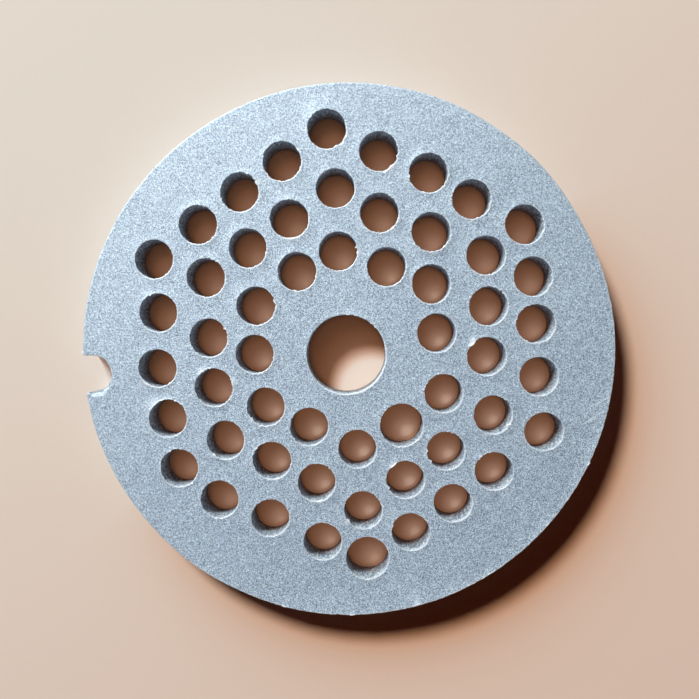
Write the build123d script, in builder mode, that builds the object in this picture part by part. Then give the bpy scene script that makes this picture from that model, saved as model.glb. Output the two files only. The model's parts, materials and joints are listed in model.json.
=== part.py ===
from build123d import *
import math
import os

# A perforated plate for a small domestic meat grinder. It is one disc of steel with a spindle bore,
# three concentric hexagons of mincing holes and a locating notch in the rim.
# The origin is on the bore axis at the lower face. +Z points out of the upper face, a corner of each
# hexagon points along +Y, and the notch opens towards -X. Millimetres and degrees.

# Disc
disc_diameter = 54.0
thickness = 5.0
rim_edge_break = 0.2

# Spindle bore
bore_diameter = 8.0
bore_edge_break = 0.2

# Mincing holes
hole_diameter = 3.9
wide_hole_diameter = 4.4

# Each ring is a hexagon of holes: the radius to its corner holes, how many holes one side counts
# with its first corner, and how far the middle of a side bows outwards.
outer_corner_radius = 21.65
outer_holes_per_side = 4
outer_side_bow = 0.45
middle_corner_radius = 16.15
middle_holes_per_side = 3
middle_side_bow = 0.05
inner_corner_radius = 10.3
inner_holes_per_side = 2
inner_side_bow = 0.3

# The whole pattern was laid out a little off the bore.
pattern_shift = (0.25, 0.6)

# Holes that stand visibly off their place. Holes are numbered clockwise from the top corner.
outer_drift = {
    0: (-0.1, 0.3),
    3: (-0.6, -0.2),
    4: (-0.1, -0.2),
    6: (-0.2, 0.7),
    7: (-0.2, 0.8),
    8: (0.2, 0.6),
    9: (-0.6, 0.0),
    10: (-0.4, -0.1),
    11: (-0.2, -0.1),
    13: (0.4, -0.3),
    15: (-0.4, -0.4),
    16: (0.3, 0.2),
    18: (-0.4, -0.2),
    19: (0.2, 0.0),
    21: (0.3, 0.0),
    22: (0.2, 0.0),
}
middle_drift = {
    0: (0.2, -0.1),
    1: (-0.3, -0.3),
    3: (0.6, -0.1),
    4: (0.4, 0.2),
    5: (-0.2, 0.6),
    7: (-0.4, -0.5),
    8: (-0.1, -0.4),
    9: (0.0, -0.5),
    10: (0.2, 0.1),
    11: (0.5, 0.1),
    12: (0.6, -0.1),
    14: (0.0, -0.3),
    15: (0.3, 0.4),
    16: (0.2, 0.2),
}
inner_drift = {
    0: (-0.1, -0.5),
    1: (0.0, -0.2),
    2: (0.0, 0.5),
    3: (-0.2, 0.7),
    4: (0.3, -0.3),
    5: (0.1, -0.3),
    7: (-0.1, 0.4),
    9: (-0.3, 0.3),
    11: (0.2, 0.2),
}

# The two holes that came out wider than the rest
outer_wide_hole = 12
inner_wide_hole = 5

# Locating notch in the rim
notch_width = 3.75
notch_depth = 2.85
notch_angle = 179.0
notch_corner_radius = 0.2

disc_radius = disc_diameter / 2
bore_radius = bore_diameter / 2
hole_radius = hole_diameter / 2
wide_hole_radius = wide_hole_diameter / 2
notch_end_radius = notch_width / 2
notch_end_centre = disc_radius - notch_depth + notch_end_radius


def on_circle(radius, clock_angle):
    """A point at a radius and an angle, counted clockwise from +Y."""
    turn = math.radians(clock_angle)
    return Vector(radius * math.sin(turn), radius * math.cos(turn))


def hexagon_places(corner_radius, holes_per_side, side_bow, drift):
    """The centres of one ring's holes, clockwise from the top corner."""
    places = []
    for side in range(6):
        start = on_circle(corner_radius, 60 * side)
        end = on_circle(corner_radius, 60 * side + 60)
        outwards = on_circle(1, 60 * side + 30)
        for step in range(holes_per_side):
            share = step / holes_per_side
            bow = 4 * side_bow * share * (1 - share)
            place = start + (end - start) * share + outwards * bow
            nudge = Vector(*drift.get(len(places), (0, 0)))
            places.append(place + nudge + Vector(*pattern_shift))
    return places


outer_places = hexagon_places(outer_corner_radius, outer_holes_per_side, outer_side_bow, outer_drift)
middle_places = hexagon_places(middle_corner_radius, middle_holes_per_side, middle_side_bow, middle_drift)
inner_places = hexagon_places(inner_corner_radius, inner_holes_per_side, inner_side_bow, inner_drift)
wide_places = [outer_places.pop(outer_wide_hole), inner_places.pop(inner_wide_hole)]
common_places = outer_places + middle_places + inner_places

with BuildPart() as grinder_plate:
    # Blank: the disc with its notch, extruded to the plate's thickness
    with BuildSketch() as blank:
        Circle(disc_radius)
        with PolarLocations(notch_end_centre, 1, start_angle=notch_angle):
            Circle(notch_end_radius, mode=Mode.SUBTRACT)
            Rectangle(disc_diameter, notch_width, align=(Align.MIN, Align.CENTER), mode=Mode.SUBTRACT)
        mouth = blank.vertices().filter_by(lambda corner: Vector(corner).length > disc_radius - 0.01)
        fillet(mouth.sort_by(Axis.X)[:2], radius=notch_corner_radius)
    extrude(amount=thickness)
    chamfer(grinder_plate.faces().filter_by(Axis.Z).edges(), rim_edge_break)

    # Spindle bore
    with Locations((0, 0, thickness)):
        Hole(bore_radius)
    circles = grinder_plate.edges().filter_by(GeomType.CIRCLE)
    bore_rims = circles.filter_by(lambda rim: abs(rim.radius - bore_radius) < 1e-6)
    chamfer(bore_rims, bore_edge_break)

    # Mincing holes, straight through. Their rims stay sharp, because they are the edges that cut.
    with Locations(*[(place.X, place.Y, thickness) for place in common_places]):
        Hole(hole_radius)
    with Locations(*[(place.X, place.Y, thickness) for place in wide_places]):
        Hole(wide_hole_radius)

grinder_plate.part.label = "grinder_plate"

os.makedirs("parts", exist_ok=True)
export_step(grinder_plate.part, "parts/grinder_plate.step")
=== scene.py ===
import json
import math
import random

import bpy
from mathutils import Matrix, Vector, noise
from mathutils.geometry import delaunay_2d_cdt


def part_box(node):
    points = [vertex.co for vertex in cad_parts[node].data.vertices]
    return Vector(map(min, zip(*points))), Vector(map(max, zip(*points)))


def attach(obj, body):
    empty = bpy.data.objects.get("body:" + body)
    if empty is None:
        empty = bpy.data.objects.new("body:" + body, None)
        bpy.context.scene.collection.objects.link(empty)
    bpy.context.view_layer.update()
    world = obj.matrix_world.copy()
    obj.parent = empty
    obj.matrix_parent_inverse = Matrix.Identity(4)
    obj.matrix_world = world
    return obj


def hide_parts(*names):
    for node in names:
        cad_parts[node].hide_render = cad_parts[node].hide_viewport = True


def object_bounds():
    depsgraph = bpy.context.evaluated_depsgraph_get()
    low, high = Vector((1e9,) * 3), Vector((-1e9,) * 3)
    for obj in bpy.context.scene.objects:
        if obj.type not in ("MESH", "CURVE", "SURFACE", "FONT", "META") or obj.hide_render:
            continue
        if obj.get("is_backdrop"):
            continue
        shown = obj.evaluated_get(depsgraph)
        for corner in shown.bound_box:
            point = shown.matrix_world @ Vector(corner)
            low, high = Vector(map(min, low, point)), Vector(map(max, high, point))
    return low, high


# The look of a blasted steel meat grinder plate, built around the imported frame.
# The plate, the floor's grid and the camera's place are worked out in millimetres, because burrs
# and grain are that small, and MM scales them. The lamp, the floor's reach and all that Blender
# is given are in metres. Angles are in degrees, anticlockwise from +X.

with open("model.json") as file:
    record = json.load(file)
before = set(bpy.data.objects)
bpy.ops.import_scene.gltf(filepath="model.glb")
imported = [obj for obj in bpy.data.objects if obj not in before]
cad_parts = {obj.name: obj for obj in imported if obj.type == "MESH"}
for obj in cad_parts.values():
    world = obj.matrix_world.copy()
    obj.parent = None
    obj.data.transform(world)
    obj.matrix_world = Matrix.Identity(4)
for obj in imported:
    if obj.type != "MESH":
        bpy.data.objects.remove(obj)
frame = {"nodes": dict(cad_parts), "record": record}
cad_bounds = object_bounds()

MM = 0.001
SEED = 54
random.seed(SEED)

# How finely the walls and the faces are divided
HOLE_SEGMENTS = 128
BORE_SEGMENTS = 180
RIM_STEP = 0.11
NOTCH_STEP = 0.1
FEWEST_ARC_STEPS = 4
FEWEST_LINE_STEPS = 2
ROUND_STEPS = 2
WALL_SHARES = (0.2, 0.6)
FACE_STEP = 1.1
FACE_ROW_SHARE = 0.87
FACE_JITTER = 0.2
FACE_CLEARANCE = 0.45
FLAT_TOLERANCE = 1e-7

# Edges that turn by more than this stay sharp
SHARP_ANGLE = 38.0

# The worn rounds along the rims, the band of face beside them, and how worn every rim is at
# least. The face stays this headroom below the CAD's, for the burrs that stand on it.
HOLE_TOP_ROUND = 0.04
HOLE_BOTTOM_ROUND = 0.08
BORE_ROUND = 0.09
RIM_ROUND = 0.09
SUPPORT_BAND = 0.1
BURR_HEADROOM = 0.03
PLAIN_WEAR = 0.15

# Independent layers of unevenness: each one's own level in the noise, and its length. Below them
# is how far the walls, the face, the holes' outlines and the rounds depart by it.
UNEVENNESS = {
    "hole outline": (3.0, 0.8),
    "hole bottom": (-5.0, 0.4),
    "hole tooth": (9.0, 0.17),
    "hole round": (12.0, 0.3),
    "ragged stretch": (50.0, 2.2),
    "rim wave": (20.0, 8.0),
    "rim jag": (30.0, 0.7),
    "rim fine jag": (35.0, 0.28),
    "rim round": (40.0, 0.4),
    "rim tooth": (44.0, 0.25),
    "face wave": (60.0, 7.0),
}
WALL_WAVE_LENGTH = 0.7
WALL_WAVE = 0.03
FACE_WAVE = 0.015
HOLE_OVAL = 0.03
HOLE_WAVE = 0.02
BOTTOM_UNEVEN = 0.4
ROUND_UNEVEN = 0.5

# Teeth on the holes' upper rims. A pair says what a smooth stretch has, and how much more a
# ragged one has. The higher the ragged share, the more of a rim is ragged.
RAGGED_SHARE = 0.25
TOOTH_DEPTH = 0.06
TOOTH_BITE = (1.0, 4.0)
TOOTH_LIP = (1.3, 2.0)
TOOTH_SHINE = (0.3, 1.2)
BURR_RISE = (0.35, 0.8)
BURR_RISE_BY_TOOTH = 0.3
HOLE_RIM_WEAR = 0.12
# Over each hole's lit wall, on the side of its rim away from the lamp, the round is wider and a painted
# highlight brightens it.
LIT_RIM_ROUND = 0.02
LIT_RIM_HIGHLIGHT = 0.3

# The outer rim. Its side away from the lamp is burred, and the pair's second number is for that.
ON_RIM = 0.1
RIM_SUNK = 0.02
RIM_WAVE = 0.03
RIM_JAG = (0.015, 0.02)
RIM_LIP = 0.02
RIM_RISE = 0.8
RIM_WEAR = 0.25
RIM_TOOTH_WEAR = 0.3
# The burred side also gets a painted highlight, patchy by the teeth.
RIM_BURR_HIGHLIGHT = 0.5
RIM_BURR_HIGHLIGHT_SPREAD = 0.7

# The notch: its rounded corners, which leave little room to be worn back, and its worn lower flank
NOTCH_CORNER = 0.25
NOTCH_CORNER_SPARE = 0.03
NOTCH_FLANK_WEAR = 0.42
NOTCH_FLANK_UNEVEN = 0.5
NOTCH_FLANK_DULL = 0.9
NOTCH_FADE = 0.4
WHOLE_ROOM = 1.0

# The disc is a little out of round: (angle, half width in degrees, depth)
RIM_FLATS = ((25, 14, 0.14), (50, 9, 0.08), (115, 14, 0.03), (-120, 9, 0.1), (-145, 12, 0.07))

# Marks on the outer rim: (angle, half width in degrees, bite, lip)
RIM_MARKS = (
    (-29.5, 0.35, 0.0, 0.1),
    (-79.5, 0.8, 0.12, 0.05),
    (-94.1, 0.5, 0.0, 0.09),
    (-97, 0.6, 0.08, 0.0),
    (-109.2, 0.5, 0.05, 0.07),
    (-140, 0.4, 0.06, 0.0),
    (174.3, 0.25, 0.0, 0.14),
)

# Marks on the holes' upper rims, by the hole's place: (angle, half width in degrees, bite, lip)
HOLE_MARKS = {
    (0, 22.6): ((-25, 4, 0.15, 0.0), (-50, 8, 0.12, 0.0), (-65, 4, 0.0, 0.12), (-120, 5, 0.12, 0.0)),
    (-9, 17.3): ((23, 7, 0.0, 0.18),),
    (-4.5, 20): ((30, 5, 0.05, 0.10),),
    (5, 20): ((-20, 4, 0.0, 0.16), (-55, 7, 0.1, 0.14), (-80, 6, 0.2, 0.0)),
    (10, 17.3): ((200, 5, 0.22, 0.0), (184, 4, 0.0, 0.08)),
    (14, 14): ((-23, 5, 0.0, 0.15),),
    (-4.5, 14): ((-95, 26, 0.10, 0.05),),
    (4.6, 14): ((-145, 7, 0.15, 0.0), (-55, 6, 0.1, 0.08)),
    (-4, 8.8): ((-150, 8, 0.15, 0.0),),
    (0, 10.5): ((7, 3, 0.0, 0.25), (-10, 3, 0.1, 0.12)),
    (19.4, 6): ((-2, 4, 0.0, 0.16), (200, 5, 0.12, 0.05), (-40, 4, 0.0, 0.18)),
    (-13.8, 3): ((25, 4, 0.0, 0.12),),
    (-8.7, 6): ((20, 4, 0.16, 0.0), (10, 3, 0.0, 0.14), (-5, 4, 0.12, 0.0)),
    (-19.4, 0.5): ((-135, 18, 0.08, 0.06),),
    (-13.7, -2): ((120, 18, 0.04, 0.07), (15, 10, 0.10, 0.08)),
    (14, -1.5): ((133, 13, 0.0, 0.20),),
    (-18.7, -5): ((125, 30, 0.03, 0.07),),
    (-13, -7.6): ((-133, 4, 0.1, 0.16),),
    (-8.6, -4.5): ((-145, 4, 0.0, 0.20),),
    (9, -10.6): ((175, 4, 0.0, 0.16), (-150, 4, 0.0, 0.20)),
    (14, -7.5): ((-40, 5, 0.1, 0.28),),
    (5, -13.3): ((125, 12, 0.0, 0.12), (-160, 4, 0.0, 0.20)),
    (-8.6, -10): ((-80, 5, 0.04, 0.06),),
    (-4, -12.8): ((-83, 6, 0.10, 0.10),),
    (0, -16): ((-148, 6, 0.10, 0.12),),
}
MARK_REACH = 1.0
LIP_SHINE = 8

# Scratches on the upper face, from one end to the other
SCRATCHES = (
    ((23.7, -7.7), (25.9, -6.8)),
    ((23.3, -9.2), (25.3, -8.1)),
    ((-16.4, 2.4), (-15.7, 2.4)),
    ((-16.7, -2.9), (-15.9, -2.4)),
)
SCRATCH_WIDTH = 0.11

# The steel. Scales are in features to the metre. Metallic and specular are given for the face,
# and then for a drilled wall.
FLECK_SCALE = 17500.0
CLUMP_SCALE = 4600.0
CLUMP_DETAIL = 2.0
CLUMP_ROUGHNESS = 0.6
CLUMP_RANGE = (0.3, 0.7)
PATCH_SCALE = 160.0
PATCH_DETAIL = 4.0
PATCH_RANGE = (0.35, 0.65)
FLECK_CONTRAST = 0.92
CLUMP_CONTRAST = 0.05
PATCH_CONTRAST = 0.03
FACE_COLOURS = ((0.0, (0.05, 0.072, 0.10)), (0.5, (0.318, 0.438, 0.592)), (1.0, (0.75, 0.93, 1.0)))
SPECK_SCALE = 9500.0
SPECK_STRETCH = 0.2
SPECK_COLOURS = (
    (0.0, (0.20, 0.25, 0.31)),
    (0.6, (0.48, 0.62, 0.78)),
    (0.92, (0.80, 0.96, 1.0)),
    (1.0, (1.0, 1.0, 1.0)),
)
# Painted shade on a drilled wall: darker and browner towards the bottom of the hole, its edge blurred
# by the clump noise.
DEPTH_SHADE_COLOURS = (
    (0.2, (1.0, 1.0, 1.0)),
    (0.5, (0.61, 0.60, 0.59)),
    (0.76, (0.46, 0.36, 0.34)),
    (1.0, (0.34, 0.23, 0.19)),
)
DEPTH_SHADE_BLUR = 0.09
# Bare metal on worn rims and in scratches, and the painted highlights on the rims' sides away from the
# lamp, take this colour.
WORN_AND_HIGHLIGHT_COLOUR = (0.82, 0.93, 1.0)
WEAR_AND_HIGHLIGHT_LEAST = 0.1
WEAR_AND_HIGHLIGHT_SHARE = 0.95
SCRATCHED_SHARE = 0.8
GRAIN_ROUGHNESS = (0.41, 0.52)
WALL_ROUGHER = 0.2
METALLIC = (0.32, 0.2)
SPECULAR = (0.9, 0.4)
BUMP_DEPTH = 0.014
CLUMP_BUMP = 1.5

# Camera, fitted to the photograph's perspective
PICTURE_SIDE = 699
SENSOR_WIDTH = 36.0
FOCAL_PIXELS = 966.6
PRINCIPAL_POINT = (325.6, 401.4)
CAMERA_PLACE = (1.68, 2.90, 103.02)
CAMERA_TILT = (-4.48, 2.20)
CAMERA_ROLL = -5.43
CAMERA_CLIP = 5.0

# Key lamp: its direction follows the shadow, and its size the shadow's soft edge
KEY_AZIMUTH = 119.1
KEY_ELEVATION = 46.7
KEY_DISTANCE = 0.8
KEY_DIAMETER = 0.18
KEY_POWER = 9.2
KEY_COLOUR = (1.0, 0.985, 0.96)

# The studio round the plate. Heights are the upward part of a direction, from 0 to 1.
AMBIENT_COLOUR = (0.050, 0.014, 0.010)
STUDIO_WALL_COLOUR = (0.72, 0.70, 0.68)
STUDIO_WALL_END = 0.096
STUDIO_CEILING_COLOUR = (0.075, 0.065, 0.06)
STUDIO_CEILING_START = 0.288
CARD_COLOUR = (1.05, 0.93, 1.05)
CARD_AZIMUTH = -115.0
CARD_ELEVATION = 66.0
CARD_EDGE = 0.88

# Floor
FLOOR_REACH = 1.0
FINE_STEP = 0.2
FINE_REACH = 27.0
COARSE_STEP = 1.0
COARSE_REACH = 46.0
# A painted sheen: the board fades from the paler first colour on the lamp's side to the second, its own
# colour, away from the lamp, over the fade either side of the middle.
PAINTED_SHEEN_COLOUR = (0.62, 0.585, 0.53)
FAR_COLOUR = (0.66, 0.52, 0.435)
PAINTED_SHEEN_FADE = 40.0
FLOOR_ROUGHNESS = 0.62

# Painted shade on the floor, which makes it browner. It is full under the plate up to the undercut
# inside its rim, and fades out over its reach beyond the shadow's edge and round to the lamp's side.
PAINTED_SHADE_COLOUR = (0.50, 0.25, 0.13)
UNDERCUT = 1.5
SHADE_REACH = 3.0
SHADE_SPREAD = 0.5
PENUMBRA = 1.8

# A painted glow, in place of the light that a hole's lit wall throws on the floor: the floor glows
# in a round patch, nearer to that wall. It is stronger in holes that lie away from the lamp, weaker
# in outer and in wide ones, and a painted contact shade dims it where the wall stands on the floor.
THROWN_LIGHT = (
    (0.0, (0.0, 0.0, 0.0)),
    (0.1, (0.11, 0.042, 0.020)),
    (0.7, (0.25, 0.135, 0.092)),
    (1.0, (0.41, 0.28, 0.215)),
)
THROWN_LEAST = 0.1
THROWN_MOST = 1.05
THROWN_MEAN = 0.84
THROWN_GAIN = 0.3
THROWN_FALL = 0.52
THROWN_RADIUS = 2.6
THROWN_OFFSET = 0.65
THROWN_SIZE = 0.66
THROWN_MARGIN = 0.4
THROWN_IN_NOTCH = 0.55
THROWN_LOST_IN_LIGHT = 0.95
CONTACT_WIDTH = 0.45
CONTACT_DARK = 0.6
NOTCH_RAY_STEPS = 12


# ---------------------------------------------------------------- the frame's own sizes

# Reading the CAD mesh: how far a wall's normal may lean, how closely its corners match, and how
# much narrower than the bore a mincing hole is
UPRIGHT = 0.01
MATCHING_DIGITS = 3
HOLE_UNDER_BORE = 0.5


def mount(name):
    """The record's mount of that name."""
    return next(m for m in frame["record"]["mounts"] if m["name"] == name)


def direction(azimuth, elevation):
    """The unit vector that points this way."""
    turn = math.radians(azimuth)
    rise = math.radians(elevation)
    return Vector((math.cos(turn) * math.cos(rise), math.sin(turn) * math.cos(rise), math.sin(rise)))


node = frame["nodes"]["grinder_plate"]
low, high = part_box("grinder_plate")
THICKNESS = (high.z - low.z) / MM
FACE_LEVEL = THICKNESS - BURR_HEADROOM
DISC_RADIUS = mount("seat_rim")["dims"]["r_mm"]
BORE_RADIUS = mount("spindle_bore")["dims"]["r_mm"]
BORE_CENTRE = Vector((0, 0))
NOTCH_CENTRE = Vector(mount("rim_notch")["pos_m"][:2]) / MM


def wall_groups(mesh):
    """The vertices of each upright wall of the CAD mesh, in millimetres, one list a wall."""
    parent = {}

    def root(v):
        while parent[v] != v:
            parent[v] = parent[parent[v]]
            v = parent[v]
        return v

    places = {}
    for polygon in mesh.polygons:
        if abs(polygon.normal.z) > UPRIGHT:
            continue
        keys = []
        for index in polygon.vertices:
            co = mesh.vertices[index].co / MM
            key = tuple(round(part, MATCHING_DIGITS) for part in co)
            parent.setdefault(key, key)
            places[key] = Vector((co.x, co.y))
            keys.append(key)
        for key in keys[1:]:
            parent[root(key)] = root(keys[0])
    groups = {}
    for key in places:
        groups.setdefault(root(key), []).append(places[key])
    return list(groups.values())


def holes_from_frame():
    """The centre and radius of each mincing hole, read from its wall in the CAD mesh."""
    holes = []
    for wall in wall_groups(node.data):
        xs = [p.x for p in wall]
        ys = [p.y for p in wall]
        centre = Vector(((min(xs) + max(xs)) / 2, (min(ys) + max(ys)) / 2))
        radius = sum((p - centre).length for p in wall) / len(wall)
        if radius < BORE_RADIUS - HOLE_UNDER_BORE:
            holes.append((centre, radius))
    return sorted(holes, key=lambda hole: (round(hole[0].y, 2), hole[0].x))


def notch_radius_from_frame():
    """Half the notch's width: how near its wall comes to the centre of its round end."""
    outer = max(wall_groups(node.data), key=lambda wall: max(p.length for p in wall))
    return min((p - NOTCH_CENTRE).length for p in outer)


# Away from the lamp, and how far the light moves that way while it falls through the plate
AWAY = -direction(KEY_AZIMUTH, 0.0).xy
THROUGH = AWAY * THICKNESS / math.tan(math.radians(KEY_ELEVATION))
HOLES = holes_from_frame()
NOTCH_RADIUS = notch_radius_from_frame()
LOWER_FLANK = Vector((-NOTCH_CENTRE.y, NOTCH_CENTRE.x)).normalized() * -1


# ---------------------------------------------------------------- mesh building

class MeshMaker:
    """Collects vertices and faces, with how much worn metal and painted highlight brighten each
    vertex, and whether a drill cut it.
    """

    def __init__(self):
        self.vertices = []
        self.faces = []
        self.wear = []
        self.drilled = []

    def add(self, x, y, z, wear=0.0, drilled=0.0):
        self.vertices.append((x, y, z))
        self.wear.append(wear)
        self.drilled.append(drilled)
        return len(self.vertices) - 1

    def bridge(self, upper, lower):
        """Quads between two closed rows of the same length."""
        count = len(upper)
        for i in range(count):
            j = (i + 1) % count
            self.faces.append((upper[i], lower[i], lower[j], upper[j]))


class RimPoint:
    """One point of a wall's outline: where it is, and how its rims are worn there.

    The normal points out of the metal. A round says how far that rim is worn back, the lip how
    far the top edge stands out over the wall, the rise how high it stands over the face, the
    brightness how much worn metal and a painted highlight add there, and the fade how much that
    lessens down the round."""

    def __init__(self, place, normal, top_round, bottom_round):
        self.place = place
        self.normal = normal
        self.top_round = top_round
        self.bottom_round = bottom_round
        self.lip = 0.0
        self.rise = 0.0
        self.wear = PLAIN_WEAR
        self.fade = 0.0


def noise3(x, y, z, length):
    """Smooth noise from -1 to 1 with features of about this length."""
    return noise.noise(Vector((x, y, z)) / length)


def uneven(at, layer):
    """The value of one layer of unevenness at this place, from -1 to 1."""
    level, length = UNEVENNESS[layer]
    return noise3(at.x, at.y, level, length)


def grown(pair, share):
    """The pair's first number, and this share of its second on top."""
    return pair[0] + pair[1] * share


def bell(turn, place, width):
    """How near a turn, in radians, is to a place: 1 at it, and nothing well beyond its half
    width. The place and the width are in degrees."""
    off = math.remainder(turn - math.radians(place), math.tau)
    return math.exp(-((off / math.radians(width)) ** 2))


def face_row(maker, rim, upper):
    """A row of vertices in the upper or lower face, just beyond the rim's round."""
    row = []
    for point in rim:
        size = point.top_round if upper else point.bottom_round
        lip = point.lip if upper else 0.0
        at = point.place + point.normal * (lip - size - SUPPORT_BAND)
        height = FACE_LEVEL if upper else 0.0
        row.append(maker.add(at.x, at.y, height, point.wear * lip / (lip + SUPPORT_BAND)))
    return row


def quarter_round(share):
    """How far a place on a round of size 1 lies from the wall, and how far from the face. At a
    share of 0 the round meets the face, and at 1 the wall."""
    return 1 - math.sin(share * math.pi / 2), 1 - math.cos(share * math.pi / 2)


def top_round_row(maker, rim, share, drilled):
    """A row of vertices on the upper rim's round."""
    back, drop = quarter_round(share)
    row = []
    for point in rim:
        at = point.place + point.normal * (point.lip - point.top_round * back)
        height = FACE_LEVEL + point.rise - point.top_round * drop
        wear = point.wear * (1 - point.fade * share)
        row.append(maker.add(at.x, at.y, height, wear, drilled * share))
    return row


def bottom_round_row(maker, rim, share, drilled):
    """The same on the lower rim, which has neither lip nor rise."""
    back, drop = quarter_round(share)
    row = []
    for point in rim:
        at = point.place - point.normal * (point.bottom_round * back)
        row.append(maker.add(at.x, at.y, point.bottom_round * drop, PLAIN_WEAR, drilled * share))
    return row


def middle_row(maker, rim, share, drilled):
    """A row on the wall itself, this share of the way down."""
    height = FACE_LEVEL * (1 - share)
    row = []
    for point in rim:
        wave = WALL_WAVE * noise3(point.place.x, point.place.y, height, WALL_WAVE_LENGTH)
        at = point.place + point.normal * wave
        row.append(maker.add(at.x, at.y, height, 0.0, drilled))
    return row


def wall_rows(maker, rim, drilled):
    """A wall from the upper to the lower face. Gives its rows of vertices in the two faces."""
    rows = [face_row(maker, rim, True)]
    for step in range(ROUND_STEPS + 1):
        rows.append(top_round_row(maker, rim, step / ROUND_STEPS, drilled))
    for share in WALL_SHARES:
        rows.append(middle_row(maker, rim, share, drilled))
    rows.append(bottom_round_row(maker, rim, 1.0, drilled))
    rows.append(bottom_round_row(maker, rim, 0.0, drilled))
    rows.append(face_row(maker, rim, False))
    for upper, lower in zip(rows, rows[1:]):
        maker.bridge(upper, lower)
    return rows[0], rows[-1]


# ---------------------------------------------------------------- the holes' walls

def round_wall(maker, centre, radius, segments, top_round, bottom_round, marks):
    """The wall of a hole, with a rim that is ragged here and there and bears its marks."""
    rim = []
    oval_turn = random.uniform(0, math.tau)
    oval_size = random.uniform(0.0, HOLE_OVAL)
    for i in range(segments):
        turn = -math.tau * i / segments
        out = Vector((math.cos(turn), math.sin(turn)))
        at = centre + out * radius
        off = oval_size * math.cos(2 * (turn - oval_turn)) + HOLE_WAVE * uneven(at, "hole outline")
        bottom = bottom_round * (1 + BOTTOM_UNEVEN * uneven(at, "hole bottom"))
        point = RimPoint(centre + out * (radius + off), -out, top_round, bottom)
        wear_rim_and_paint_highlight(point, at)
        for mark in marks:
            bear_mark(point, turn, *mark)
        rim.append(point)
    return wall_rows(maker, rim, 1.0)


def wear_rim_and_paint_highlight(point, at):
    """Fine teeth and small bites along a hole's rim, deeper on ragged stretches. The side of
    each rim that lies away from the lamp, the lower right, gets a wider round and a painted highlight."""
    ragged = max(0.0, uneven(at, "ragged stretch") + RAGGED_SHARE)
    tooth = uneven(at, "hole tooth")
    lit_rim = max(0.0, -point.normal.dot(AWAY))
    point.top_round *= 1 + ROUND_UNEVEN * uneven(at, "hole round")
    point.top_round += max(0.0, tooth) * TOOTH_DEPTH * grown(TOOTH_BITE, ragged)
    point.top_round += LIT_RIM_ROUND * lit_rim
    point.lip += max(0.0, -tooth) * TOOTH_DEPTH * grown(TOOTH_LIP, ragged)
    point.rise = BURR_HEADROOM * min(1.0, grown(BURR_RISE, ragged) + BURR_RISE_BY_TOOTH * tooth)
    # Worn metal, and a painted highlight on the lit rim.
    point.wear += HOLE_RIM_WEAR + LIT_RIM_HIGHLIGHT * lit_rim
    point.wear += max(0.0, -tooth) * grown(TOOTH_SHINE, ragged)


def bear_mark(point, turn, place, width, bite, lip):
    """A mark on a rim: at this angle the edge is bitten away, or a burr stands over the hole."""
    here = bell(turn, place, width)
    point.top_round += bite * here
    point.lip += lip * here
    point.rise = min(BURR_HEADROOM, point.rise + here * min(BURR_HEADROOM, lip))
    point.wear = min(1.0, point.wear + here * min(1.0, LIP_SHINE * lip))


def marks_of(centre):
    """The marks listed for the hole at this place."""
    for place, marks in HOLE_MARKS.items():
        if (Vector(place) - centre).length < MARK_REACH:
            return marks
    return ()


# ---------------------------------------------------------------- the outer wall

def rim_outline():
    """The disc's outline with its notch, anticlockwise: points, outward normals, and the
    room that there is for the rim to be worn back."""
    spin = Matrix.Rotation(math.atan2(NOTCH_CENTRE.y, NOTCH_CENTRE.x), 2)
    end = NOTCH_CENTRE.length
    corner_y = NOTCH_RADIUS + NOTCH_CORNER
    corner_x = math.sqrt((DISC_RADIUS - NOTCH_CORNER) ** 2 - corner_y ** 2)
    corner_turn = math.atan2(corner_y, corner_x)
    corner_room = NOTCH_CORNER - SUPPORT_BAND - NOTCH_CORNER_SPARE
    outline = []

    def arc(centre, radius, start, stop, step, side):
        room = corner_room if radius == NOTCH_CORNER else WHOLE_ROOM
        count = max(FEWEST_ARC_STEPS, round(abs(stop - start) * radius / step))
        for k in range(count):
            turn = start + (stop - start) * k / count
            out = Vector((math.cos(turn), math.sin(turn)))
            outline.append((spin @ (Vector(centre) + out * radius), spin @ (out * side), room))

    def line(start, stop, normal):
        span = Vector(stop) - Vector(start)
        count = max(FEWEST_LINE_STEPS, round(span.length / NOTCH_STEP))
        for k in range(count):
            at = Vector(start) + span * k / count
            outline.append((spin @ at, spin @ Vector(normal), WHOLE_ROOM))

    arc((0, 0), DISC_RADIUS, corner_turn, math.tau - corner_turn, RIM_STEP, 1)
    arc((corner_x, -corner_y), NOTCH_CORNER, -corner_turn, math.pi / 2, NOTCH_STEP, 1)
    line((corner_x, -NOTCH_RADIUS), (end, -NOTCH_RADIUS), (0, 1))
    arc((end, 0), NOTCH_RADIUS, -math.pi / 2, -3 * math.pi / 2, NOTCH_STEP, -1)
    line((end, NOTCH_RADIUS), (corner_x, NOTCH_RADIUS), (0, -1))
    arc((corner_x, corner_y), NOTCH_CORNER, -math.pi / 2, corner_turn, NOTCH_STEP, 1)
    return outline


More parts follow.
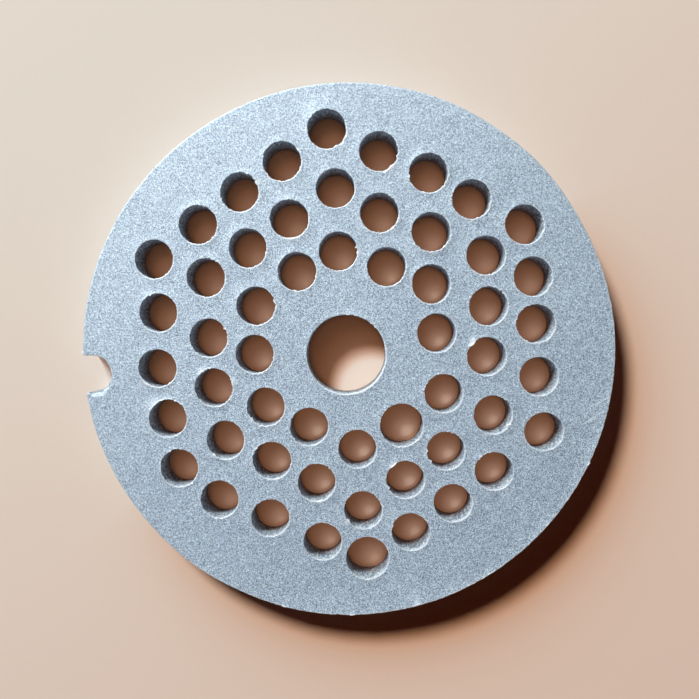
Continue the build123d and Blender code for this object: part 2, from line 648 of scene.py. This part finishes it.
def rim_wall(maker):
    """The disc's outer wall: a little out of round, with worn and nicked rims, and a painted
    highlight along its burred side, away from the lamp.
    """
    rim = []
    for at, normal, room in rim_outline():
        turn = math.atan2(at.y, at.x)
        on_rim = room == WHOLE_ROOM and at.length > DISC_RADIUS - ON_RIM
        burred = max(0.0, normal.dot(AWAY)) if on_rim else 0.0
        sunk = rim_depth(at, turn, burred)
        worn = RIM_ROUND * (1 + ROUND_UNEVEN * uneven(at, "rim round"))
        tooth = uneven(at, "rim tooth")
        point = RimPoint(at - normal * sunk, normal, worn, worn)
        point.lip = RIM_LIP * tooth
        point.rise = BURR_HEADROOM * burred * min(1.0, RIM_RISE + tooth)
        point.wear = RIM_WEAR + RIM_TOOTH_WEAR * max(0.0, tooth)
        # Painted highlight along the burred side, away from the lamp.
        point.wear += RIM_BURR_HIGHLIGHT * burred * max(0.0, RIM_BURR_HIGHLIGHT_SPREAD + tooth)
        for mark in RIM_MARKS:
            bear_mark(point, turn, *mark)
        wear_notch_flank(point, at, tooth)
        point.top_round = min(point.top_round, room)
        point.bottom_round = min(point.bottom_round, room)
        rim.append(point)
    return wall_rows(maker, rim, 0.0)


def rim_depth(at, turn, burred):
    """How far the worn outline lies inside the true one here."""
    jag = uneven(at, "rim jag") + burred * uneven(at, "rim fine jag")
    wave = RIM_WAVE * uneven(at, "rim wave") + grown(RIM_JAG, burred) * jag
    flats = sum(depth * bell(turn, place, width) for place, width, depth in RIM_FLATS)
    return RIM_SUNK - wave + flats


def wear_notch_flank(point, at, tooth):
    """The notch's lower flank, inside its mouth, is worn into a wide dull round."""
    inside = min(1.0, max(0.0, (DISC_RADIUS - NOTCH_CORNER - at.length) / NOTCH_FADE))
    flank = inside * max(0.0, point.normal.dot(LOWER_FLANK))
    point.top_round += NOTCH_FLANK_WEAR * flank * (1 + NOTCH_FLANK_UNEVEN * tooth)
    point.wear *= 1 - flank * (NOTCH_FLANK_DULL - tooth)
    point.fade = flank


# ---------------------------------------------------------------- the faces and the whole plate

def within(loop, at):
    """Whether a point lies within a closed loop of points."""
    crossed = False
    for a, b in zip(loop, loop[1:] + loop[:1]):
        if (a.y > at.y) != (b.y > at.y) and at.x < a.x + (b.x - a.x) * (at.y - a.y) / (b.y - a.y):
            crossed = not crossed
    return crossed


def closed_edges(loops):
    """The edges of the loops, whose vertices are numbered one loop after the other."""
    edges = []
    start = 0
    for loop in loops:
        count = len(loop)
        edges += [(start + k, start + (k + 1) % count) for k in range(count)]
        start += count
    return edges


def flat_face(maker, loops, height, upwards):
    """A face between its outer loop, loops[0], and the loops of its holes."""
    indices = [i for loop in loops for i in loop]
    flat = [Vector(maker.vertices[i][:2]) for i in indices]
    outlines = [[Vector(maker.vertices[i][:2]) for i in loop] for loop in loops]
    owner = [number for number, loop in enumerate(loops) for _ in loop]
    for x, y in face_points():
        indices.append(maker.add(x, y, height))
        flat.append(Vector((x, y)))
        owner.append(None)
    _, _, triangles, sources, _, _ = delaunay_2d_cdt(flat, closed_edges(loops), [], 0, FLAT_TOLERANCE)
    for triangle in triangles:
        corners = [sources[v][0] for v in triangle]
        owners = {owner[c] for c in corners}
        middle = sum((flat[c] for c in corners), Vector((0, 0))) / 3
        if len(owners) == 1 and None not in owners:
            loop = owners.pop()
            if within(outlines[loop], middle) == (loop > 0):
                continue
        order = corners if upwards else corners[::-1]
        maker.faces.append(tuple(indices[c] for c in order))


def face_points():
    """Loosely spaced points on the face, clear of every rim."""
    steps = int(DISC_RADIUS / FACE_STEP) + 1
    for row in range(-steps, steps + 1):
        for column in range(-steps, steps + 1):
            x = (column + 0.5 * (row % 2)) * FACE_STEP + random.uniform(-FACE_JITTER, FACE_JITTER)
            y = row * FACE_STEP * FACE_ROW_SHARE + random.uniform(-FACE_JITTER, FACE_JITTER)
            if clear_of_rims(Vector((x, y))):
                yield x, y


def clear_of_rims(at):
    """Whether this place on the face keeps its clearance from the rim, the notch and each hole."""
    if at.length > DISC_RADIUS - RIM_ROUND - FACE_CLEARANCE:
        return False
    if at.length < BORE_RADIUS + BORE_ROUND + FACE_CLEARANCE:
        return False
    if (at - NOTCH_CENTRE).length < NOTCH_RADIUS + RIM_ROUND + FACE_CLEARANCE:
        return False
    return all((at - c).length >= r + HOLE_TOP_ROUND + FACE_CLEARANCE for c, r in HOLES)


def plate_mesh():
    """The walls and faces of the whole plate, closed and flat, in millimetres."""
    maker = MeshMaker()
    loops = [rim_wall(maker)]
    loops.append(round_wall(maker, BORE_CENTRE, BORE_RADIUS, BORE_SEGMENTS, BORE_ROUND, BORE_ROUND, ()))
    for centre, radius in HOLES:
        rounds = (HOLE_TOP_ROUND, HOLE_BOTTOM_ROUND)
        loops.append(round_wall(maker, centre, radius, HOLE_SEGMENTS, *rounds, marks_of(centre)))
    flat_face(maker, [upper for upper, _ in loops], FACE_LEVEL, True)
    flat_face(maker, [lower for _, lower in loops], 0.0, False)
    return maker


def settled(x, y, z):
    """The vertex with the face's slow wave, in metres and kept within the CAD node's box."""
    wave = FACE_WAVE * uneven(Vector((x, y)), "face wave")
    sunk = z + z / THICKNESS * min(0.0, wave - FACE_WAVE / 2)
    spot = Vector((x, y, sunk)) * MM
    return [min(max(spot[k], low[k]), high[k]) for k in range(3)]


def build_plate():
    """The whole plate as one closed mesh."""
    maker = plate_mesh()
    mesh = bpy.data.meshes.new("plate_surface")
    mesh.from_pydata([settled(*vertex) for vertex in maker.vertices], [], maker.faces)
    mesh.validate()
    mesh.shade_smooth()
    mesh.set_sharp_from_angle(angle=math.radians(SHARP_ANGLE))
    add_attributes(mesh, rim_wear=maker.wear, drilled=maker.drilled)
    return linked("plate_surface", mesh)


def add_attributes(mesh, **attributes):
    """Gives each vertex its number, for the material to read by the attribute's name."""
    for name, values in attributes.items():
        made = mesh.attributes.new(name, "FLOAT", "POINT")
        made.data.foreach_set("value", values)


def linked(name, data):
    """A new object with this data, linked to the scene."""
    made = bpy.data.objects.new(name, data)
    bpy.context.scene.collection.objects.link(made)
    return made


# ---------------------------------------------------------------- materials

class Nodes:
    """Short calls for adding and joining the nodes of one node tree."""

    def __init__(self, tree):
        self.tree = tree

    def add(self, kind, **settings):
        made = self.tree.nodes.new("ShaderNode" + kind)
        for key, value in settings.items():
            setattr(made, key, value)
        return made

    def feed(self, value, socket):
        """Joins another node's output to the socket, or sets a number, vector or colour on it."""
        if isinstance(value, bpy.types.NodeSocket):
            self.tree.links.new(value, socket)
        elif socket.type == "RGBA":
            socket.default_value = (*value, 1.0)
        else:
            socket.default_value = value

    def attribute(self, name):
        return self.add("Attribute", attribute_name=name).outputs["Fac"]

    def noise(self, coordinates, scale, detail, roughness=0.5):
        made = self.add("TexNoise")
        for key, value in (("Vector", coordinates), ("Scale", scale), ("Detail", detail)):
            self.feed(value, made.inputs[key])
        self.feed(roughness, made.inputs["Roughness"])
        return made.outputs["Fac"]

    def cells(self, coordinates, scale):
        """Small cells, each with its own random value, and the distance to their middles."""
        made = self.add("TexVoronoi")
        self.feed(scale, made.inputs["Scale"])
        self.feed(coordinates, made.inputs["Vector"])
        split = self.add("SeparateColor")
        self.feed(made.outputs["Color"], split.inputs["Color"])
        return split.outputs["Red"], made.outputs["Distance"]

    def mix(self, factor, first, second, blend="MIX"):
        """Two colours, each written out or linked, mixed by the factor."""
        made = self.add("Mix", data_type="RGBA", blend_type=blend)
        for key, value in (("Factor", factor), ("A", first), ("B", second)):
            self.feed(value, made.inputs[key])
        return made.outputs["Result"]

    def remap(self, value, before, after, curve="LINEAR"):
        """The value, carried from one range to another and kept within it."""
        made = self.add("MapRange", interpolation_type=curve)
        self.feed(value, made.inputs["Value"])
        for key, number in zip(("From Min", "From Max", "To Min", "To Max"), (*before, *after)):
            self.feed(number, made.inputs[key])
        return made.outputs["Result"]

    def math(self, operation, first, second):
        made = self.add("Math", operation=operation)
        for socket, value in zip(made.inputs, (first, second)):
            self.feed(value, socket)
        return made.outputs[0]

    def vector(self, operation, first, second):
        made = self.add("VectorMath", operation=operation)
        for socket, value in zip(made.inputs, (first, second)):
            self.feed(value, socket)
        return made.outputs

    def scaled(self, vector, scale):
        made = self.add("VectorMath", operation="SCALE")
        self.feed(vector, made.inputs["Vector"])
        self.feed(scale, made.inputs["Scale"])
        return made.outputs["Vector"]

    def height(self, coordinates):
        """The upward part of a vector."""
        made = self.add("SeparateXYZ")
        self.feed(coordinates, made.inputs["Vector"])
        return made.outputs["Z"]

    def ramp(self, value, stops):
        made = self.add("ValToRGB")
        elements = made.color_ramp.elements
        while len(elements) < len(stops):
            elements.new(0.5)
        for element, (place, colour) in zip(elements, stops):
            element.position = place
            element.color = (*colour, 1.0)
        self.feed(value, made.inputs["Fac"])
        return made.outputs["Color"]


def new_material(name):
    """A material, its nodes, and the inputs of its shader."""
    material = bpy.data.materials.new(name)
    material.use_nodes = True
    return material, Nodes(material.node_tree), material.node_tree.nodes["Principled BSDF"].inputs


def face_colour(n, fleck, clump, patch):
    """The blasted face: each fleck of grain has its own shade, in slightly uneven patches."""
    shade = n.math("MULTIPLY", fleck, FLECK_CONTRAST)
    shade = n.math("ADD", shade, n.remap(clump, CLUMP_RANGE, (0.0, CLUMP_CONTRAST)))
    shade = n.math("ADD", shade, n.remap(patch, PATCH_RANGE, (0.0, PATCH_CONTRAST)))
    return n.ramp(shade, FACE_COLOURS)


def wall_colour(n, coordinates, clump):
    """A drilled wall: upright specks, and painted shade that makes it darker and browner with depth."""
    stretch = n.add("Mapping", vector_type="POINT")
    n.feed((1.0, 1.0, SPECK_STRETCH), stretch.inputs["Scale"])
    n.feed(coordinates, stretch.inputs["Vector"])
    speck, _ = n.cells(stretch.outputs["Vector"], SPECK_SCALE)
    # Painted shade, deepening down the wall.
    depth = n.remap(n.height(coordinates), (THICKNESS * MM, 0.0), (0.0, 1.0))
    depth = n.math("ADD", depth, n.remap(clump, CLUMP_RANGE, (-DEPTH_SHADE_BLUR, DEPTH_SHADE_BLUR)))
    return n.mix(1.0, n.ramp(speck, SPECK_COLOURS), n.ramp(depth, DEPTH_SHADE_COLOURS), "MULTIPLY")


def scratch(n, coordinates, start, end):
    """How close this point is to a scratch: 1 on its line, and 0 beyond its width."""
    start = Vector((*start, THICKNESS)) * MM
    along = Vector((*end, THICKNESS)) * MM - start
    from_start = n.vector("SUBTRACT", coordinates, start)["Vector"]
    share = n.vector("DOT_PRODUCT", from_start, along / along.length_squared)["Value"]
    nearest = n.scaled(along, n.remap(share, (0.0, 1.0), (0.0, 1.0)))
    off = n.vector("DISTANCE", from_start, nearest)["Value"]
    return n.remap(off, (0.0, SCRATCH_WIDTH * MM), (1.0, 0.0))


def bare_metal_and_highlight(n, coordinates):
    """How bright bare metal and painted highlight make the steel, from 0 to 1: on worn rims,
    with painted highlights where a rim lies away from the lamp, and in the scratches.
    """
    scratched = scratch(n, coordinates, *SCRATCHES[0])
    for ends in SCRATCHES[1:]:
        scratched = n.math("MAXIMUM", scratched, scratch(n, coordinates, *ends))
    worn = n.remap(n.attribute("rim_wear"), (WEAR_AND_HIGHLIGHT_LEAST, 1.0), (0.0, WEAR_AND_HIGHLIGHT_SHARE))
    return n.math("MAXIMUM", worn, n.math("MULTIPLY", scratched, SCRATCHED_SHARE))


def blasted_steel():
    """Grey-blue steel with a fine blasted grain, and painted shade deep in the drilled holes."""
    material, n, shader = new_material("blasted_steel")
    coordinates = n.add("TexCoord").outputs["Object"]
    drilled = n.attribute("drilled")
    fleck, pit = n.cells(coordinates, FLECK_SCALE)
    clump = n.noise(coordinates, CLUMP_SCALE, CLUMP_DETAIL, CLUMP_ROUGHNESS)
    patch = n.noise(coordinates, PATCH_SCALE, PATCH_DETAIL)

    colour = n.mix(drilled, face_colour(n, fleck, clump, patch), wall_colour(n, coordinates, clump))
    # Bare metal, and painted highlights along the rims.
    colour = n.mix(bare_metal_and_highlight(n, coordinates), colour, WORN_AND_HIGHLIGHT_COLOUR)
    rougher = n.remap(drilled, (0.0, 1.0), (0.0, WALL_ROUGHER))
    n.feed(colour, shader["Base Color"])
    n.feed(n.math("ADD", n.remap(fleck, (0.0, 1.0), GRAIN_ROUGHNESS), rougher), shader["Roughness"])
    n.feed(n.remap(drilled, (0.0, 1.0), METALLIC), shader["Metallic"])
    n.feed(n.remap(drilled, (0.0, 1.0), SPECULAR), shader["Specular IOR Level"])

    bump = n.add("Bump")
    n.feed(1.0, bump.inputs["Strength"])
    n.feed(BUMP_DEPTH * MM, bump.inputs["Distance"])
    n.feed(n.math("ADD", pit, n.math("MULTIPLY", clump, CLUMP_BUMP)), bump.inputs["Height"])
    n.feed(bump.outputs["Normal"], shader["Normal"])
    return material


def floor_with_painted_light():
    """A plain pale board with painted light on it. A painted sheen makes it paler towards the lamp and
    a little warmer away from it. Painted shade makes it browner under the plate and in its shadow, and
    in the holes it glows with painted light, for the light that their walls throw down on it."""
    material, n, shader = new_material("floor_with_painted_light")
    # Painted sheen: the board is paler on the lamp's side.
    along = n.vector("DOT_PRODUCT", n.add("TexCoord").outputs["Object"], (*AWAY, 0.0))["Value"]
    far = n.remap(along, (-PAINTED_SHEEN_FADE * MM, PAINTED_SHEEN_FADE * MM), (0.0, 1.0))
    bare = n.mix(far, PAINTED_SHEEN_COLOUR, FAR_COLOUR)
    # Painted shade: browner where the plate shades the board.
    n.feed(n.mix(n.attribute("shade"), bare, PAINTED_SHADE_COLOUR), shader["Base Color"])
    # Painted light: the board glows like a lamp in the holes and in the notch's shadow.
    n.feed(n.ramp(n.attribute("thrown"), THROWN_LIGHT), shader["Emission Color"])
    n.feed(1.0, shader["Emission Strength"])
    n.feed(FLOOR_ROUGHNESS, shader["Roughness"])
    n.feed(0.0, shader["Specular IOR Level"])
    return material


# ---------------------------------------------------------------- the floor and its light

def lit_through_bore(at):
    """How fully the lamp lights this place on the board through the bore, from 0 to 1."""
    if at.length > BORE_RADIUS + THROWN_MARGIN:
        return 0.0
    share = (BORE_RADIUS - (at - THROUGH).length) / PENUMBRA + 0.5
    return min(1.0, max(0.0, share))


def shade(at):
    """How much painted shade this place on the board gets, from 0 to 1: as deep as it lies in the
    plate's shade.
    """
    if at.length < DISC_RADIUS - UNDERCUT:
        return 1 - lit_through_bore(at)
    out = max(0.0, (at - THROUGH).length - DISC_RADIUS)
    side = max(0.0, at.dot(AWAY) / at.length)
    return math.exp(-out / SHADE_REACH) * side ** SHADE_SPREAD


def shaded_in_notch(at):
    """Whether the metal beside the notch keeps the lamp off this place on the notch's board."""
    if (at - NOTCH_CENTRE).length > NOTCH_RADIUS + THROWN_MARGIN:
        return False
    towards = [at - THROUGH * (k + 1) / NOTCH_RAY_STEPS for k in range(NOTCH_RAY_STEPS)]
    return any(p.length < DISC_RADIUS and (p - NOTCH_CENTRE).length > NOTCH_RADIUS for p in towards)


def thrown_in_hole(at, centre, radius):
    """How strongly this hole's painted glow, for the light that its lit wall throws, shows at a place
    within it.
    """
    off = (at - centre - AWAY * radius * THROWN_OFFSET).length / radius
    glow = THROWN_LEAST + THROWN_MOST * math.exp(-((off / THROWN_SIZE) ** 2))
    place = centre / DISC_RADIUS
    strength = THROWN_MEAN + THROWN_GAIN * place.dot(AWAY) - THROWN_FALL * place.length_squared
    strength *= min(1.0, THROWN_RADIUS / radius)
    # Painted contact shade: the glow dims near the foot of the wall.
    inside = radius - (at - centre).length
    contact = CONTACT_DARK * min(1.0, max(0.0, 1 - inside / CONTACT_WIDTH))
    return glow * strength * (1 - contact) * (1 - THROWN_LOST_IN_LIGHT * lit_through_bore(at))


def thrown_light(at):
    """How strongly the painted glow, for the light that lit walls throw, shows at this place on the
    board, from 0 to 1.
    """
    # In the notch's shadow the painted glow is even.
    if shaded_in_notch(at):
        return THROWN_IN_NOTCH
    for centre, radius in [(BORE_CENTRE, BORE_RADIUS)] + HOLES:
        if (at - centre).length < radius + THROWN_MARGIN:
            return thrown_in_hole(at, centre, radius)
    return 0.0


def floor_lines():
    """Where the floor's grid lines lie: close together under the plate, and wider round it."""
    fine = round(FINE_REACH / FINE_STEP)
    coarse = round((COARSE_REACH - FINE_REACH) / COARSE_STEP)
    outer = [FINE_REACH + COARSE_STEP * (k + 1) for k in range(coarse)]
    return [-x for x in outer[::-1]] + [k * FINE_STEP for k in range(-fine, fine + 1)] + outer


def grid_faces(side):
    """The quads of a square grid with this many vertices on a side."""
    firsts = [row * side + column for row in range(side - 1) for column in range(side - 1)]
    return [(first, first + 1, first + side + 1, first + side) for first in firsts]


def grid_edges(side):
    """The vertices along the grid's four sides, anticlockwise from its first corner."""
    last = side * side - 1
    return [
        list(range(side)),
        list(range(side - 1, last + 1, side)),
        list(range(last, last - side, -1)),
        list(range(last + 1 - side, -1, -side)),
    ]


def add_floor():
    """A square board. Its middle is finely divided, because the light varies there."""
    lines = floor_lines()
    spots = [Vector((x, y)) for y in lines for x in lines]
    places = [(x * MM, y * MM, 0.0) for y in lines for x in lines]
    faces = grid_faces(len(lines))
    first_far = len(places)
    places += [(x * FLOOR_REACH, y * FLOOR_REACH, 0.0) for x, y in ((-1, -1), (1, -1), (1, 1), (-1, 1))]
    for k, edge in enumerate(grid_edges(len(lines))):
        faces.append([first_far + k, first_far + (k + 1) % 4] + edge[::-1])
    unlit = [0.0] * (len(places) - first_far)
    mesh = bpy.data.meshes.new("floor")
    mesh.from_pydata(places, [], faces)
    # Each vertex's painted shade and painted glow, for the floor's material.
    add_attributes(
        mesh,
        shade=[shade(spot) for spot in spots] + unlit,
        thrown=[thrown_light(spot) for spot in spots] + unlit,
    )
    mesh.materials.append(floor_with_painted_light())
    linked("floor", mesh)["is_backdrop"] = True


# ---------------------------------------------------------------- lamp, studio and camera

def add_key_lamp():
    """A round soft box to the plate's upper left, pointing at it."""
    data = bpy.data.lights.new("key", "AREA")
    data.shape = "DISK"
    data.size = KEY_DIAMETER
    data.energy = KEY_POWER
    data.color = KEY_COLOUR
    towards = direction(KEY_AZIMUTH, KEY_ELEVATION)
    lamp = linked("key", data)
    lamp.location = towards * KEY_DISTANCE
    lamp.rotation_euler = towards.to_track_quat("Z", "Y").to_euler()


def add_world():
    """A dim studio. Only the camera and gloss see its pale walls, its dark ceiling and the pale
    card that stands to the lower left."""
    world = bpy.data.worlds.new("studio")
    world.use_nodes = True
    n = Nodes(world.node_tree)
    looking = n.add("TexCoord").outputs["Generated"]
    wall = (STUDIO_WALL_END, STUDIO_WALL_COLOUR)
    ceiling = (STUDIO_CEILING_START, STUDIO_CEILING_COLOUR)
    room = n.ramp(n.height(looking), (wall, ceiling))
    at_card = n.vector("DOT_PRODUCT", looking, direction(CARD_AZIMUTH, CARD_ELEVATION))["Value"]
    card = n.remap(at_card, (CARD_EDGE, 1.0), (0.0, 1.0), "SMOOTHSTEP")
    studio = n.mix(card, room, CARD_COLOUR)
    rays = n.add("LightPath").outputs
    seen = n.math("MAXIMUM", rays["Is Camera Ray"], rays["Is Glossy Ray"])
    seen = n.math("MAXIMUM", seen, rays["Is Transmission Ray"])
    background = world.node_tree.nodes["Background"]
    n.feed(n.mix(seen, AMBIENT_COLOUR, studio), background.inputs["Color"])
    bpy.context.scene.world = world


def add_camera():
    """The photograph's camera. Its small shift is the picture's own off-centre crop."""
    data = bpy.data.cameras.new("camera")
    data.sensor_width = SENSOR_WIDTH
    data.lens = FOCAL_PIXELS * SENSOR_WIDTH / PICTURE_SIDE
    data.shift_x = (PICTURE_SIDE / 2 - PRINCIPAL_POINT[0]) / PICTURE_SIDE
    data.shift_y = (PRINCIPAL_POINT[1] - PICTURE_SIDE / 2) / PICTURE_SIDE
    data.clip_start = CAMERA_CLIP * MM
    camera = linked("camera", data)
    roll = Matrix.Rotation(math.radians(CAMERA_ROLL), 4, "Z")
    tilt_x = Matrix.Rotation(math.radians(CAMERA_TILT[0]), 4, "X")
    tilt_y = Matrix.Rotation(math.radians(CAMERA_TILT[1]), 4, "Y")
    place = Matrix.Translation(Vector(CAMERA_PLACE) * MM)
    camera.matrix_world = roll @ place @ tilt_y @ tilt_x
    bpy.context.scene.camera = camera


# ---------------------------------------------------------------- the scene

add_camera()
plate = build_plate()
plate.data.materials.append(blasted_steel())
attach(plate, "root")
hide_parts("grinder_plate")

add_floor()
add_world()
add_key_lamp()

bpy.context.scene.view_settings.view_transform = "Standard"

boxes = {"cad": cad_bounds, "visual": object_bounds()}
{key: [list(corner) for corner in box] for key, box in boxes.items()}
